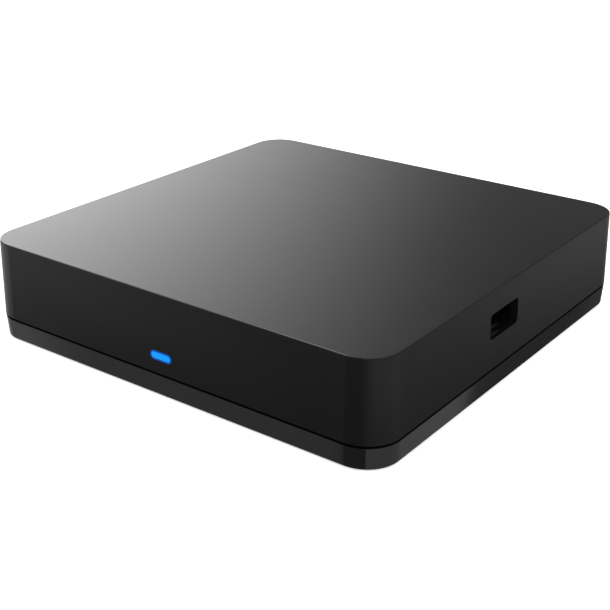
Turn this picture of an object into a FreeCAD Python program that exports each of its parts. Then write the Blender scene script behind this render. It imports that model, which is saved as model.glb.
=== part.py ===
import FreeCAD, Part
import math
import os

# A small square streaming media player: a tall top cover over a shallow base, with the board and
# its connectors inside. Millimetres. The origin is the middle of the plane that the feet stand on,
# +X is to the right along the front, +Y is to the back, and +Z is up.

V = FreeCAD.Vector
RIGHT, BACK, UP = V(1, 0, 0), V(0, 1, 0), V(0, 0, 1)
OUT_DIR = "parts"

# Case
WIDTH = 124.0
DEPTH = 123.0
BODY_HEIGHT = 26.7
FOOT_PROUD = 0.3
CORNER_R = 9.0
SEAM_MIDDLE = 5.725
SEAM_GAP = 0.65
COVER_LEAN = 0.54
BASE_LEAN = 0.4
BASE_SET_IN = 0.05
TOP_EDGE_R = 0.3
BASE_EDGE_R = 0.2
WALL = 2.0
FLOOR = 2.0
LIP_GAP = 0.15
LIP_THICK = 1.2

# Heights and half widths that follow from them
BASE_Z = FOOT_PROUD
TOP_Z = BASE_Z + BODY_HEIGHT
SEAM_LOW = BASE_Z + SEAM_MIDDLE - SEAM_GAP / 2
SEAM_HIGH = SEAM_LOW + SEAM_GAP
FLOOR_Z = BASE_Z + FLOOR
CEILING_Z = TOP_Z - WALL
HALF_W = WIDTH / 2
HALF_D = DEPTH / 2
OVERLAP = 0.5
CLEAR = 0.05
TOUCH = 0.01

# Main board
BOARD_T = 1.6
BOARD_Z = 9.0
BOARD_LOW = BOARD_Z - BOARD_T
BOARD_W = 94.0
BOARD_FRONT = -42.0
BOARD_BACK = 56.0
BOARD_TAB_END = 56.0
BOARD_TAB_W = 23.0
BOARD_CORNER_R = 2.0
LIP_TOP = BOARD_Z - 0.4
BOARD_FIXINGS = [(-42.0, -36.5), (42.0, -36.5), (-43.0, 34.0), (43.0, 34.0)]
BOARD_SCREW_R = 1.0
BOARD_SCREW_HEAD_R, BOARD_SCREW_HEAD_H, BOARD_SCREW_L = 2.2, 1.55, 4.2

# Case screws, feet, vents and label
CASE_FIXINGS = [(sx * 52.0, sy * 51.5) for sx in (-1, 1) for sy in (-1, 1)]
CASE_SCREW_R = 1.25
CASE_SCREW_HEAD_R, CASE_SCREW_HEAD_H, CASE_SCREW_L = 2.5, 2.15, 9.0
CASE_SCREW_LOW = 1.0
POST_R, POST_TOP = 3.6, 7.2
BOSS_R, BOSS_LOW, PILOT_L = 3.4, 7.25, 10.5
FEET = [(sx * 42.0, sy * 41.5) for sx in (-1, 1) for sy in (-1, 1)]
FOOT_R, FOOT_RECESS, FOOT_EDGE_R = 6.0, 1.0, 0.2
VENT_L, VENT_W, VENT_PITCH, VENT_ROWS = 22.0, 1.6, 3.6, 9
VENT_COLUMNS = (-14.0, 14.0)
LABEL_W, LABEL_D, LABEL_Y, LABEL_T, LABEL_R = 48.0, 18.0, -43.0, 0.15, 1.5
LABEL_RECESS, LABEL_MARGIN = 0.25, 0.3

# Ribs under the top of the cover
RIB_T, RIB_H = 1.2, 1.5
RIB_X, RIB_Y = 22.0, 30.0
RIB_FRONT, RIB_REAR, RIB_REACH = -50.0, 38.0, 46.0
GUIDE_X, GUIDE_HALF_T, GUIDE_BACK, GUIDE_LOW, GUIDE_HIGH = 5.4, 0.5, -54.5, 9.0, 14.0

# Front light: the pill window, its stop flange, and the bar back to the light on the board
LIGHT_W, LIGHT_H, LIGHT_Z = 6.75, 2.35, 10.9
LIGHT_FLANGE_Y, LIGHT_FLANGE_T = -59.3, 1.4
LIGHT_FLANGE_HALF_W, LIGHT_FLANGE_BELOW, LIGHT_FLANGE_ABOVE = 4.6, 0.5, 0.7
LIGHT_BAR_W, LIGHT_END_Y = 4.8, -38.2
MIRROR_SIDE, MIRROR_MARGIN = 1.8, 0.1
STATUS_Y = -39.9

# Processor, thermal pad and heatsink
SOC_X, SOC_Y, SOC_SIDE, SOC_H = 4.0, -2.0, 14.0, 1.2
PAD_H = 0.6
SINK_SIDE, SINK_PLATE, SINK_H, SINK_FINS, FIN_T = 36.0, 2.0, 9.0, 11, 1.0
SINK_Z = BOARD_Z + SOC_H + PAD_H
PIN_OFFSET, PIN_R, PIN_HOLE_R, PIN_HEAD_Z = 15.0, 0.95, 1.1, 7.0
PUSH_PINS = [(SOC_X - PIN_OFFSET, SOC_Y - PIN_OFFSET), (SOC_X + PIN_OFFSET, SOC_Y + PIN_OFFSET)]
PIN_HEAD_R, PIN_HEAD_H, PIN_UNDER, BARB_TIP_R, BARB_R, BARB_H = 2.6, 1.0, 0.4, 0.6, 1.5, 1.2
SPRING_R, SPRING_WIRE_R, SPRING_PITCH, SPRING_TURNS = 1.9, 0.25, 1.05, 4.2

# Other parts on the board, by the place of their middles
MEMORY_PLACES, MEMORY_SIZE = [(-9.0, 21.5), (3.0, 21.5)], (9.0, 13.0, 1.0)
STORAGE_PLACE, STORAGE_SIZE = (-24.0, -4.0), (13.0, 11.5, 1.0)
STATUS_SIZE = (3.2, 1.6, 0.6)
POWER_PLACE, POWER_SIZE = (32.0, 22.0), (5.0, 5.0, 0.85)
SMALL_POWER_PLACES, SMALL_POWER_SIZE = [(31.0, -24.0), (33.0, 4.0)], (3.0, 2.8, 0.9)
CERAMIC_PITCH, CERAMIC_L, CERAMIC_W, CERAMIC_H = 2.4, 1.6, 0.8, 0.5
CERAMIC_ROW, CERAMIC_COLUMN, CERAMIC_ROW_Y = 9, 7, 10.2
CERAMIC_COLUMN_STARTS = [(-33.5, -12.0), (28.0, 4.0)]
INDUCTOR_SIDE, INDUCTOR_CORNER, INDUCTOR_H = 5.6, 1.4, 2.8
INDUCTOR_PLACES = [(38.0, 14.0), (38.0, -2.5), (36.0, -30.5)]
CAPACITOR_PLACES = [(38.0, 42.0), (30.5, 34.5), (26.0, -33.5)]
CAPACITOR_R, CAPACITOR_H, CAPACITOR_EDGE_R = 3.1, 7.4, 0.4
GROOVE_LOW, GROOVE_H, GROOVE_DEPTH = 1.5, 0.6, 0.3
CRYSTAL_W, CRYSTAL_D, CRYSTAL_R, CRYSTAL_H = 3.2, 2.5, 0.4, 0.8
CRYSTAL_PLACES = [(-10.5, 9.5), (11.0, 34.0)]
TRANSFORMER_Y, TRANSFORMER_SIZE = 34.2, (16.0, 6.6, 3.2)
TRANSFORMER_LEGS, TRANSFORMER_PITCH, TRANSFORMER_LEG_Y = 8, 1.8, 3.9
TRANSFORMER_LEG_SIZE = (0.5, 1.4, 0.3)
WIFI_X, WIFI_Y, WIFI_BOARD_T, WIFI_BOARD_W, WIFI_BOARD_D = -34.0, -26.0, 0.8, 15.0, 13.0
CAN_W, CAN_D, CAN_H, CAN_SHEET, CAN_SHIFT = 11.0, 11.4, 1.6, 0.2, 1.2
CAN_R, CAN_INNER_R = 0.6, 0.4
AERIAL_PLUGS = [(WIFI_X - 5.9, WIFI_Y + 3.5), (WIFI_X - 5.9, WIFI_Y - 3.5)]
AERIAL_PLUG_R, AERIAL_PLUG_H, AERIAL_CABLE_R = 1.2, 1.3, 0.55
AERIAL_T, AERIAL_LOW, AERIAL_HIGH = 0.3, 11.0, 20.0
AERIAL_LEFT_X, AERIAL_FRONT_Y = -59.6, -59.1
AERIAL_LEFT_SPAN, AERIAL_FRONT_SPAN = (-34.0, 4.0), (-46.0, -10.0)
CABLE_END_Y, CABLE_END_X, CABLE_END_Z = -12.0, -36.0, 14.0
CABLE_PLUG_Z, CABLE_GAP, CABLE_LIFT = 1.5, 0.1, 0.6
CABLE_BENDS = ((-54.0, -19.0, 12.5), (-44.0, -50.0, 12.5))

# Side port: a raised USB type A receptacle behind a plain opening
USB_Y, USB_Z = -6.4, 17.65
USB_OPEN_W, USB_OPEN_H, USB_OPEN_R = 13.85, 6.7, 1.1
USB_SHELL_W, USB_SHELL_H, USB_SHEET = 13.14, 5.72, 0.3
USB_MOUTH_X, USB_BACK_X = 59.9, 45.8
USB_SHELL_R, USB_INNER_R = 0.6, 0.3
USB_SPRINGS, USB_SPRING_W = (USB_Y - 2.9, USB_Y + 2.9), 1.9
USB_SPRING_OUTLINE = [(50.5, 0), (50.5, -0.2), (54.6, -0.85), (56.4, -0.4), (56.4, -0.2), (54.6, -0.6)]
USB_WINDOW_X, USB_WINDOW_W, USB_WINDOW_UP = (50.5, 56.5), 2.2, (2.0, 4.0)
USB_BLOCK_X, USB_BLOCK_GAP = 50.2, 0.2
USB_TONGUE_X, USB_TONGUE_W, USB_TONGUE_UP = (50.0, 58.6), 11.2, (0.1, 1.9)
USB_GROOVE_X, USB_GROOVE_W, USB_GROOVE_UP = (50.2, 58.0), 1.1, 0.4
USB_CONTACT_X, USB_CONTACT_W, USB_CONTACT_UP = (50.25, 57.6), 1.0, 0.15
USB_RISER_X, USB_RISER_W = (46.4, 55.4), 12.6
USB_NOTCH_X, USB_NOTCH_W, USB_NOTCH_H = (48.5, 53.2), 8.4, 2.5
USB_CONTACTS = [USB_Y + offset for offset in (-3.5, -1.0, 1.0, 3.5)]

# Rear connectors, each named by the X of its middle
REAR_Y = 60.8
PORT_GAP = 0.3
DC_X, DC_Z, DC_BODY_W, DC_BODY_H, DC_BODY_L = 38.0, 15.3, 9.0, 11.0, 12.2
DC_NOSE_R, DC_BORE_R, DC_BORE_L, DC_SETBACK = 4.0, 3.1, 10.0, 2.0
DC_PIN_R, DC_PIN_L, DC_ROOT_R, DC_ROOT_L = 1.0, 8.8, 1.3, 3.0
HDMI_X, HDMI_Z, HDMI_W, HDMI_H, HDMI_SHEET, HDMI_L = 21.0, 12.1, 15.0, 5.7, 0.3, 11.8
HDMI_FLARE_W, HDMI_FLARE_H, HDMI_RECESS, HDMI_SETBACK = 15.6, 6.1, 2.0, 0.4
HDMI_STEP_DOWN, HDMI_STEP_IN = 0.45, 0.34
HDMI_LEGS, HDMI_LEG_W, HDMI_LEG_UP = (1.4, 5.4), 1.5, 1.0
HDMI_BLOCK_W, HDMI_BLOCK_H, HDMI_BLOCK_L = 14.2, 4.9, 3.4
HDMI_TONGUE_W, HDMI_TONGUE_ROOT, HDMI_TONGUE_LOW, HDMI_TONGUE_HIGH = 11.2, 3.0, -0.15, 1.25
HDMI_UPPER, HDMI_LOWER, HDMI_PITCH = 10, 9, 1.0
HDMI_GROOVE_W, HDMI_GROOVE_D, HDMI_GROOVE_END = 0.44, 0.1, 0.7
HDMI_CONTACT_W, HDMI_CONTACT_BACK, HDMI_CONTACT_END = 0.36, 8.35, 0.75
LAN_X, LAN_W, LAN_H, LAN_L, LAN_SHEET = 0.0, 16.0, 13.4, 21.3, 0.25
LAN_MOUTH_W, LAN_MOUTH_LOW, LAN_MOUTH_HIGH, LAN_MOUTH_L = 11.9, 3.3, 10.2, 16.0
LAN_KEY_STEPS = [(3.3, 2.0, LAN_MOUTH_LOW + 0.1), (1.8, 1.2, 2.1)]
LAN_LIGHT_X, LAN_LIGHT_W, LAN_LIGHT_LOW, LAN_LIGHT_HIGH = 5.6, 3.0, 10.75, 12.55
LAN_LIGHT_HOLE_L, LAN_LIGHT_L = 12.0, 11.5
LAN_CONTACTS, LAN_CONTACT_PITCH, LAN_CONTACT_W = 8, 1.02, 0.4
LAN_CONTACT_FRONT, LAN_CONTACT_BACK = (3.2, 0.4), (11.0, 2.4, 2.75)
OPTICAL_X, OPTICAL_W, OPTICAL_H, OPTICAL_L = -19.0, 9.8, 10.2, 13.6
OPTICAL_MOUTH_W, OPTICAL_MOUTH_LOW, OPTICAL_MOUTH_HIGH, OPTICAL_MOUTH_L = 6.6, 1.9, 9.3, 9.5
HINGE_Y, HINGE_Z, HINGE_PIN_R, HINGE_PIN_L = 59.35, 17.75, 0.44, 8.0
HINGE_HOLE_GAP, HINGE_HOLE_L = 0.06, 8.2
FLAP_W, FLAP_T, FLAP_GAP = 6.3, 0.7, 0.15
FLAP_RIB_W, FLAP_RIB_T, FLAP_RIB_INSET = 3.2, 0.15, 1.2
EMITTER_R, EMITTER_L, EMITTER_UP = 1.2, 1.0, 5.2
AV_X, AV_Z, AV_BODY_W, AV_BODY_H, AV_BODY_L = -33.0, 12.0, 6.4, 6.0, 12.0
AV_NOSE_W, AV_NOSE_CORNER, AV_BORE_R, AV_BORE_BACK, AV_BORE_FRONT = 6.0, 1.2, 1.8, 47.8, 59.2
AV_RING_R, AV_FLANGE_R, AV_FLANGE_T, AV_FLARE, AV_SETBACK = 2.6, 2.9, 0.5, 0.4, 2.2
RESET_X, RESET_Z, RESET_FACE_Y, RESET_BODY = -43.5, 11.0, 57.6, 5.8
RESET_STEM_R, RESET_STOP_R, RESET_STOP_Y, RESET_TIP_Y = 0.88, 1.5, 56.5, 59.5
RESET_TRAVEL = 0.25
RESET_BODY_D, RESET_BODY_H, RESET_GUIDE_L = 3.6, 3.6, 3.0
RESET_STOP_T, RESET_STEM_ROOT = 0.95, 0.5
RESET_CHAMBER_GAP, RESET_CHAMBER_L = 0.1, 1.4
RESET_SHEET, RESET_FRAME_GAP, RESET_FRAME_D, RESET_FRAME_HOLE_GAP = 0.2, 0.05, 3.0, 0.2
RESET_HOLE_R = 1.3


# ---------------------------------------------------------------- shape helpers


def block(x0, x1, y0, y1, z0, z1):
    return Part.makeBox(x1 - x0, y1 - y0, z1 - z0, V(x0, y0, z0))


def centred_block(x, y, z0, w, d, h):
    return block(x - w / 2, x + w / 2, y - d / 2, y + d / 2, z0, z0 + h)


def rod(radius, start, direction, length):
    return Part.makeCylinder(radius, length, V(*start), direction)


def fused(shapes):
    whole = shapes[0]
    if len(shapes) > 1:
        whole = whole.fuse(shapes[1:])
    return whole.removeSplitter()


def rounded_outline(w, d, radius, z, x=0.0, y=0.0):
    """A closed wire, w wide and d deep, with round corners, lying flat at height z."""
    cut = radius * (1 - math.sqrt(0.5))
    arcs = []
    for sx, sy in ((1, -1), (1, 1), (-1, 1), (-1, -1)):
        on_side = V(x + sx * w / 2, y + sy * (d / 2 - radius), z)
        on_end = V(x + sx * (w / 2 - radius), y + sy * d / 2, z)
        middle = V(x + sx * (w / 2 - cut), y + sy * (d / 2 - cut), z)
        first, last = (on_end, on_side) if sx * sy < 0 else (on_side, on_end)
        arcs.append((first, middle, last))
    edges = []
    for (first, middle, last), following in zip(arcs, arcs[1:] + arcs[:1]):
        edges.append(Part.Arc(first, middle, last).toShape())
        edges.append(Part.LineSegment(last, following[0]).toShape())
    return Part.Wire(edges)


def rounded_block(w, d, radius, z0, z1, x=0.0, y=0.0):
    face = Part.Face(rounded_outline(w, d, radius, z0, x, y))
    return face.extrude(V(0, 0, z1 - z0))


def rounded_bar(w, h, radius, length, start, direction):
    """A bar with a rounded section, w wide and h tall, that runs from start along BACK or RIGHT."""
    across = V(-1, 0, 0) if direction == BACK else BACK
    bar = rounded_block(w, h, radius, 0, length)
    bar.Placement = FreeCAD.Placement(V(*start), FreeCAD.Rotation(across, UP, direction))
    return bar


def prism(points, way):
    """A closed polygon of (x, y, z) points, extruded along a vector."""
    corners = [V(*point) for point in points]
    return Part.Face(Part.makePolygon(corners + corners[:1])).extrude(way)


def flat_edges(shape, z):
    """The edges that lie wholly at height z."""
    found = []
    for edge in shape.Edges:
        box = edge.BoundBox
        if abs(box.ZMin - z) < 1e-4 and abs(box.ZMax - z) < 1e-4:
            found.append(edge)
    return found


def cable(points, radius):
    """A round cable along a smooth curve through the points."""
    curve = Part.BSplineCurve()
    curve.interpolate([V(*point) for point in points])
    ring = Part.Wire(Part.makeCircle(radius, curve.value(0.0), curve.tangent(0.0)[0]))
    return Part.Wire(curve.toShape()).makePipeShell([ring], True, True)


def coil_spring(x, y, z):
    points_per_turn = 12
    points = []
    for i in range(int(SPRING_TURNS * points_per_turn) + 1):
        turn = i / points_per_turn
        angle = 2 * math.pi * turn
        around = (x + SPRING_R * math.cos(angle), y + SPRING_R * math.sin(angle))
        points.append((*around, z + SPRING_PITCH * turn))
    return cable(points, SPRING_WIRE_R)


def screw(head_r, head_h, shank_r, shank_l):
    """A pan-head screw that points up, with a cross recess in the underside of its head."""
    head = Part.makeCylinder(head_r, head_h)
    head = head.makeFillet(head_h * 0.45, flat_edges(head, 0))
    shank = Part.makeCylinder(shank_r, shank_l, V(0, 0, head_h))
    tip = Part.makeCone(shank_r, shank_r * 0.3, shank_r, V(0, 0, head_h + shank_l))
    slot_l, slot_w, slot_h = head_r, head_r * 0.24, head_h * 0.6
    slots = [
        centred_block(0, 0, 0, slot_l, slot_w, slot_h),
        centred_block(0, 0, 0, slot_w, slot_l, slot_h),
    ]
    return fused([head, shank, tip]).cut(slots)


def save(name, shapes):
    """Writes one piece, or a group of like pieces, as one STEP file."""
    solids = [solid for shape in shapes for solid in shape.Solids]
    for solid in solids:
        if not solid.isValid() or solid.Volume <= 0:
            raise ValueError(name + " holds a solid that is not valid")
    whole = solids[0] if len(solids) == 1 else Part.makeCompound(solids)
    whole.exportStep(os.path.join(OUT_DIR, name + ".step"))


# ---------------------------------------------------------------- the case


def cover_lean(z):
    """How far the drafted cover wall has moved inward at height z."""
    return COVER_LEAN * (z - SEAM_HIGH) / (TOP_Z - SEAM_HIGH)


def cover_block(inset, top):
    """The cover's outside, moved inward by inset and ending at height top."""
    outlines = []
    for z, shift in ((SEAM_HIGH, inset), (top, inset + cover_lean(top))):
        outlines.append(rounded_outline(WIDTH - 2 * shift, DEPTH - 2 * shift, CORNER_R - shift, z))
    return Part.makeLoft(outlines, True, True)


def usb_opening():
    start = (HALF_W - 2 * WALL, USB_Y, USB_Z)
    return rounded_bar(USB_OPEN_W, USB_OPEN_H, USB_OPEN_R, 4 * WALL, start, RIGHT)


def rear_openings():
    """Cutters for the holes in the rear wall, each a little larger than its connector."""
    y = HALF_D - 2 * WALL
    length = 4 * WALL
    lan_middle = (LAN_X, y, BOARD_Z + LAN_H / 2)
    optical_middle = (OPTICAL_X, y, BOARD_Z + OPTICAL_H / 2)
    grow = 2 * PORT_GAP
    return [
        rounded_bar(HDMI_FLARE_W + grow, HDMI_FLARE_H + grow, 0.5, length, (HDMI_X, y, HDMI_Z), BACK),
        rounded_bar(LAN_W + grow, LAN_H + grow, 0.4, length, lan_middle, BACK),
        rounded_bar(OPTICAL_W + grow, OPTICAL_H + grow, 0.5, length, optical_middle, BACK),
        rod(DC_NOSE_R + PORT_GAP, (DC_X, y, DC_Z), BACK, length),
        rounded_bar(AV_NOSE_W + grow, AV_NOSE_W + grow, AV_NOSE_CORNER, length, (AV_X, y, AV_Z), BACK),
        rod(RESET_HOLE_R, (RESET_X, y, RESET_Z), BACK, length),
    ]


def light_bar(clearance, length):
    w, h = LIGHT_W + 2 * clearance, LIGHT_H + 2 * clearance
    return rounded_bar(w, h, h / 2 - TOUCH, length, (0, -HALF_D - 1.0, LIGHT_Z), BACK)


def cover_ribs():
    """Stiffening ribs under the top, and the two that guide the light pipe's flange."""
    z0, z1 = CEILING_Z - RIB_H, CEILING_Z + OVERLAP
    ribs = []
    for x in (-RIB_X, RIB_X):
        ribs.append(block(x - RIB_T / 2, x + RIB_T / 2, RIB_FRONT, RIB_REAR, z0, z1))
    for y in (-RIB_Y, RIB_Y):
        ribs.append(block(-RIB_REACH, RIB_REACH, y - RIB_T / 2, y + RIB_T / 2, z0, z1))
    for x in (-GUIDE_X, GUIDE_X):
        x0, x1 = x - GUIDE_HALF_T, x + GUIDE_HALF_T
        ribs.append(block(x0, x1, -HALF_D + 1.0, GUIDE_BACK, GUIDE_LOW, GUIDE_HIGH))
    return ribs


def make_top_cover():
    outside = cover_block(0.0, TOP_Z)
    outside = outside.makeFillet(TOP_EDGE_R, flat_edges(outside, TOP_Z))
    shell = outside.cut(cover_block(WALL, CEILING_Z))
    bosses = []
    for x, y in CASE_FIXINGS:
        boss = rod(BOSS_R, (x, y, BOSS_LOW), UP, CEILING_Z + OVERLAP - BOSS_LOW)
        pilot = rod(CASE_SCREW_R + TOUCH, (x, y, BOSS_LOW), UP, PILOT_L)
        bosses.append(boss.cut(pilot))
    shell = fused([shell] + bosses + cover_ribs())
    return shell.cut([usb_opening(), light_bar(CLEAR, 2 * WALL)] + rear_openings())


def vent_slots():
    slots = []
    for x in VENT_COLUMNS:
        for row in range(VENT_ROWS):
            y = (row - (VENT_ROWS - 1) / 2) * VENT_PITCH
            radius = VENT_W / 2 - TOUCH
            slots.append(rounded_block(VENT_L, VENT_W, radius, 0, FLOOR_Z + OVERLAP, x, y))
    return slots


def base_tray():
    """The shallow outer tray, and the upright lip that the cover drops over."""
    low = rounded_outline(WIDTH - 2 * BASE_LEAN, DEPTH - 2 * BASE_LEAN, CORNER_R - BASE_LEAN, BASE_Z)
    w, d = WIDTH - 2 * BASE_SET_IN, DEPTH - 2 * BASE_SET_IN
    high = rounded_outline(w, d, CORNER_R - BASE_SET_IN, SEAM_LOW)
    tray = Part.makeLoft([low, high], True, True)
    tray = tray.makeFillet(BASE_EDGE_R, flat_edges(tray, BASE_Z))
    outer = WALL + LIP_GAP
    inner = outer + LIP_THICK
    z0 = SEAM_LOW - 1.0
    lip = rounded_block(WIDTH - 2 * outer, DEPTH - 2 * outer, CORNER_R - outer, z0, LIP_TOP)
    hollow = rounded_block(WIDTH - 2 * inner, DEPTH - 2 * inner, CORNER_R - inner, FLOOR_Z, LIP_TOP + 1)
    return fused([tray, lip]).cut(hollow)


def make_base():
    z0 = FLOOR_Z - OVERLAP
    posts = [rod(POST_R, (x, y, z0), UP, POST_TOP - z0) for x, y in CASE_FIXINGS]
    standoffs = [rod(2.8, (x, y, z0), UP, BOARD_LOW - z0) for x, y in BOARD_FIXINGS]
    cutters = vent_slots()
    for x, y in CASE_FIXINGS:
        cutters.append(rod(CASE_SCREW_R + 0.35, (x, y, 0), UP, POST_TOP + 1))
        cutters.append(rod(CASE_SCREW_HEAD_R + 0.3, (x, y, 0), UP, CASE_SCREW_LOW + CASE_SCREW_HEAD_H))
    for x, y in BOARD_FIXINGS:
        cutters.append(rod(BOARD_SCREW_R + TOUCH, (x, y, FLOOR_Z + 0.6), UP, BOARD_Z))
    for x, y in FEET:
        cutters.append(rod(FOOT_R + 0.1, (x, y, 0), UP, BASE_Z + FOOT_RECESS))
    w, d = LABEL_W + 2 * LABEL_MARGIN, LABEL_D + 2 * LABEL_MARGIN
    recess_r = LABEL_R + LABEL_MARGIN
    cutters.append(rounded_block(w, d, recess_r, 0, BASE_Z + LABEL_RECESS, 0, LABEL_Y))
    return fused([base_tray()] + posts + standoffs).cut(cutters)


def make_light_pipe():
    """The pill window in the front wall, its flange, and a bar that ends in a 45 degree mirror face."""
    pill = light_bar(0.0, 2.5 * WALL).common(cover_block(2 * TOUCH, CEILING_Z))
    z0, z1 = LIGHT_Z - LIGHT_H / 2, LIGHT_Z + LIGHT_H / 2
    flange_back = LIGHT_FLANGE_Y + LIGHT_FLANGE_T
    wide, low, high = LIGHT_FLANGE_HALF_W, z0 - LIGHT_FLANGE_BELOW, z1 + LIGHT_FLANGE_ABOVE
    flange = block(-wide, wide, LIGHT_FLANGE_Y, flange_back, low, high)
    half = LIGHT_BAR_W / 2
    bar = block(-half, half, flange_back - OVERLAP, LIGHT_END_Y, z0 + CLEAR, z1)
    end_y, top = LIGHT_END_Y + MIRROR_MARGIN, z1 + MIRROR_MARGIN
    corner = [(-half - 1, LIGHT_END_Y - MIRROR_SIDE, top), (-half - 1, end_y, top)]
    corner.append((-half - 1, end_y, z1 - MIRROR_SIDE))
    return fused([pill, flange, bar]).cut(prism(corner, V(LIGHT_BAR_W + 2, 0, 0)))


def make_foot(x, y):
    foot = rod(FOOT_R, (x, y, 0), UP, FOOT_RECESS + FOOT_PROUD - TOUCH)
    return foot.makeFillet(FOOT_EDGE_R, flat_edges(foot, 0))


def make_rating_label():
    z1 = BASE_Z + LABEL_RECESS - TOUCH
    return rounded_block(LABEL_W, LABEL_D, LABEL_R, z1 - LABEL_T, z1, 0, LABEL_Y)


def make_case_screw(x, y):
    whole = screw(CASE_SCREW_HEAD_R, CASE_SCREW_HEAD_H, CASE_SCREW_R, CASE_SCREW_L)
    whole.translate(V(x, y, CASE_SCREW_LOW - TOUCH))
    return whole


def make_board_screw(x, y):
    whole = screw(BOARD_SCREW_HEAD_R, BOARD_SCREW_HEAD_H, BOARD_SCREW_R, BOARD_SCREW_L)
    whole.rotate(V(0, 0, 0), RIGHT, 180)
    whole.translate(V(x, y, BOARD_Z + BOARD_SCREW_HEAD_H + TOUCH))
    return whole


# ---------------------------------------------------------------- the board and its parts


def make_main_board():
    middle, length = (BOARD_BACK + BOARD_FRONT) / 2, BOARD_BACK - BOARD_FRONT
    board = rounded_block(BOARD_W, length, BOARD_CORNER_R, BOARD_LOW, BOARD_Z, 0, middle)
    y0, y1 = USB_Y - BOARD_TAB_W / 2, USB_Y + BOARD_TAB_W / 2
    tab = block(BOARD_W / 2 - 5.0, BOARD_TAB_END, y0, y1, BOARD_LOW, BOARD_Z)
    holes = [rod(1.4, (x, y, 0), UP, 2 * BOARD_Z) for x, y in BOARD_FIXINGS]
    holes.extend(rod(PIN_HOLE_R, (x, y, 0), UP, 2 * BOARD_Z) for x, y in PUSH_PINS)
    return fused([board, tab]).cut(holes)


def make_heatsink():
    half = SINK_SIDE / 2
    y0, y1 = SOC_Y - half, SOC_Y + half
    plate = block(SOC_X - half, SOC_X + half, y0, y1, SINK_Z, SINK_Z + SINK_PLATE)
    pitch = (SINK_SIDE - FIN_T) / (SINK_FINS - 1)
    fins = []
    for i in range(SINK_FINS):
        x = SOC_X - half + i * pitch
        fins.append(block(x, x + FIN_T, y0, y1, SINK_Z + 1.0, SINK_Z + SINK_H))
    wells = [rod(3.2, (x, y, SINK_Z + SINK_PLATE), UP, SINK_H) for x, y in PUSH_PINS]
    holes = [rod(PIN_HOLE_R, (x, y, SINK_Z - 1.0), UP, SINK_H) for x, y in PUSH_PINS]
    return fused([plate] + fins).cut(wells + holes)


def make_push_pin(x, y):
    """A plastic pin: a flat head over the spring, a shank, and a barb under the board."""
    head_z = SINK_Z + PIN_HEAD_Z
    head = rod(PIN_HEAD_R, (x, y, head_z), UP, PIN_HEAD_H)
    shank_z = BOARD_LOW - PIN_UNDER
    shank = rod(PIN_R, (x, y, shank_z), UP, head_z + 0.2 - shank_z)
    barb = Part.makeCone(BARB_TIP_R, BARB_R, BARB_H, V(x, y, shank_z - BARB_H))
    return fused([head, shank, barb])


def make_memory_chip(x, y):
    return centred_block(x, y, BOARD_Z, *MEMORY_SIZE)


def make_power_chips():
    main = centred_block(*POWER_PLACE, BOARD_Z, *POWER_SIZE)
    small = [centred_block(x, y, BOARD_Z, *SMALL_POWER_SIZE) for x, y in SMALL_POWER_PLACES]
    return [main] + small


def make_inductor(x, y):
    side = INDUCTOR_SIDE
    return rounded_block(side, side, INDUCTOR_CORNER, BOARD_Z, BOARD_Z + INDUCTOR_H, x, y)


def make_bulk_capacitor(x, y):
    top = BOARD_Z + CAPACITOR_H
    can = rod(CAPACITOR_R, (x, y, BOARD_Z), UP, CAPACITOR_H)
    can = can.makeFillet(CAPACITOR_EDGE_R, flat_edges(can, top))
    groove = rod(CAPACITOR_R + 1, (x, y, BOARD_Z + GROOVE_LOW), UP, GROOVE_H)
    return can.cut(groove.cut(rod(CAPACITOR_R - GROOVE_DEPTH, (x, y, BOARD_Z), UP, CAPACITOR_H)))


def make_small_parts():
    """Rows of small ceramic capacitors and resistors around the main chips."""
    small = []
    for i in range(CERAMIC_ROW):
        x = SOC_X + (i - CERAMIC_ROW // 2) * CERAMIC_PITCH
        for y in (SOC_Y - CERAMIC_ROW_Y, SOC_Y + CERAMIC_ROW_Y):
            small.append(centred_block(x, y, BOARD_Z, CERAMIC_L, CERAMIC_W, CERAMIC_H))
    for i in range(CERAMIC_COLUMN):
        for x, y in CERAMIC_COLUMN_STARTS:
            place = (x, y + i * CERAMIC_PITCH)
            small.append(centred_block(*place, BOARD_Z, CERAMIC_W, CERAMIC_L, CERAMIC_H))
    return small


def make_crystal(x, y):
    return rounded_block(CRYSTAL_W, CRYSTAL_D, CRYSTAL_R, BOARD_Z, BOARD_Z + CRYSTAL_H, x, y)


def make_lan_transformer():
    body_low = BOARD_Z + TRANSFORMER_LEG_SIZE[2]
    body = centred_block(LAN_X, TRANSFORMER_Y, body_low, *TRANSFORMER_SIZE)
    legs = []
    for y in (TRANSFORMER_Y - TRANSFORMER_LEG_Y, TRANSFORMER_Y + TRANSFORMER_LEG_Y):
        for i in range(TRANSFORMER_LEGS):
            x = LAN_X + (i - (TRANSFORMER_LEGS - 1) / 2) * TRANSFORMER_PITCH
            legs.append(centred_block(x, y, BOARD_Z, *TRANSFORMER_LEG_SIZE))
    return [body] + legs


def make_wifi_board():
    return centred_block(WIFI_X, WIFI_Y, BOARD_Z, WIFI_BOARD_W, WIFI_BOARD_D, WIFI_BOARD_T)


def make_wifi_shield():
    x, z0 = WIFI_X + CAN_SHIFT, BOARD_Z + WIFI_BOARD_T
    z1 = z0 + CAN_H
    inner_w, inner_d = CAN_W - 2 * CAN_SHEET, CAN_D - 2 * CAN_SHEET
    can = rounded_block(CAN_W, CAN_D, CAN_R, z0, z1, x, WIFI_Y)
    return can.cut(rounded_block(inner_w, inner_d, CAN_INNER_R, z0 - 1, z1 - CAN_SHEET, x, WIFI_Y))


def make_aerial_plug(x, y):
    return rod(AERIAL_PLUG_R, (x, y, BOARD_Z + WIFI_BOARD_T), UP, AERIAL_PLUG_H)


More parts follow.
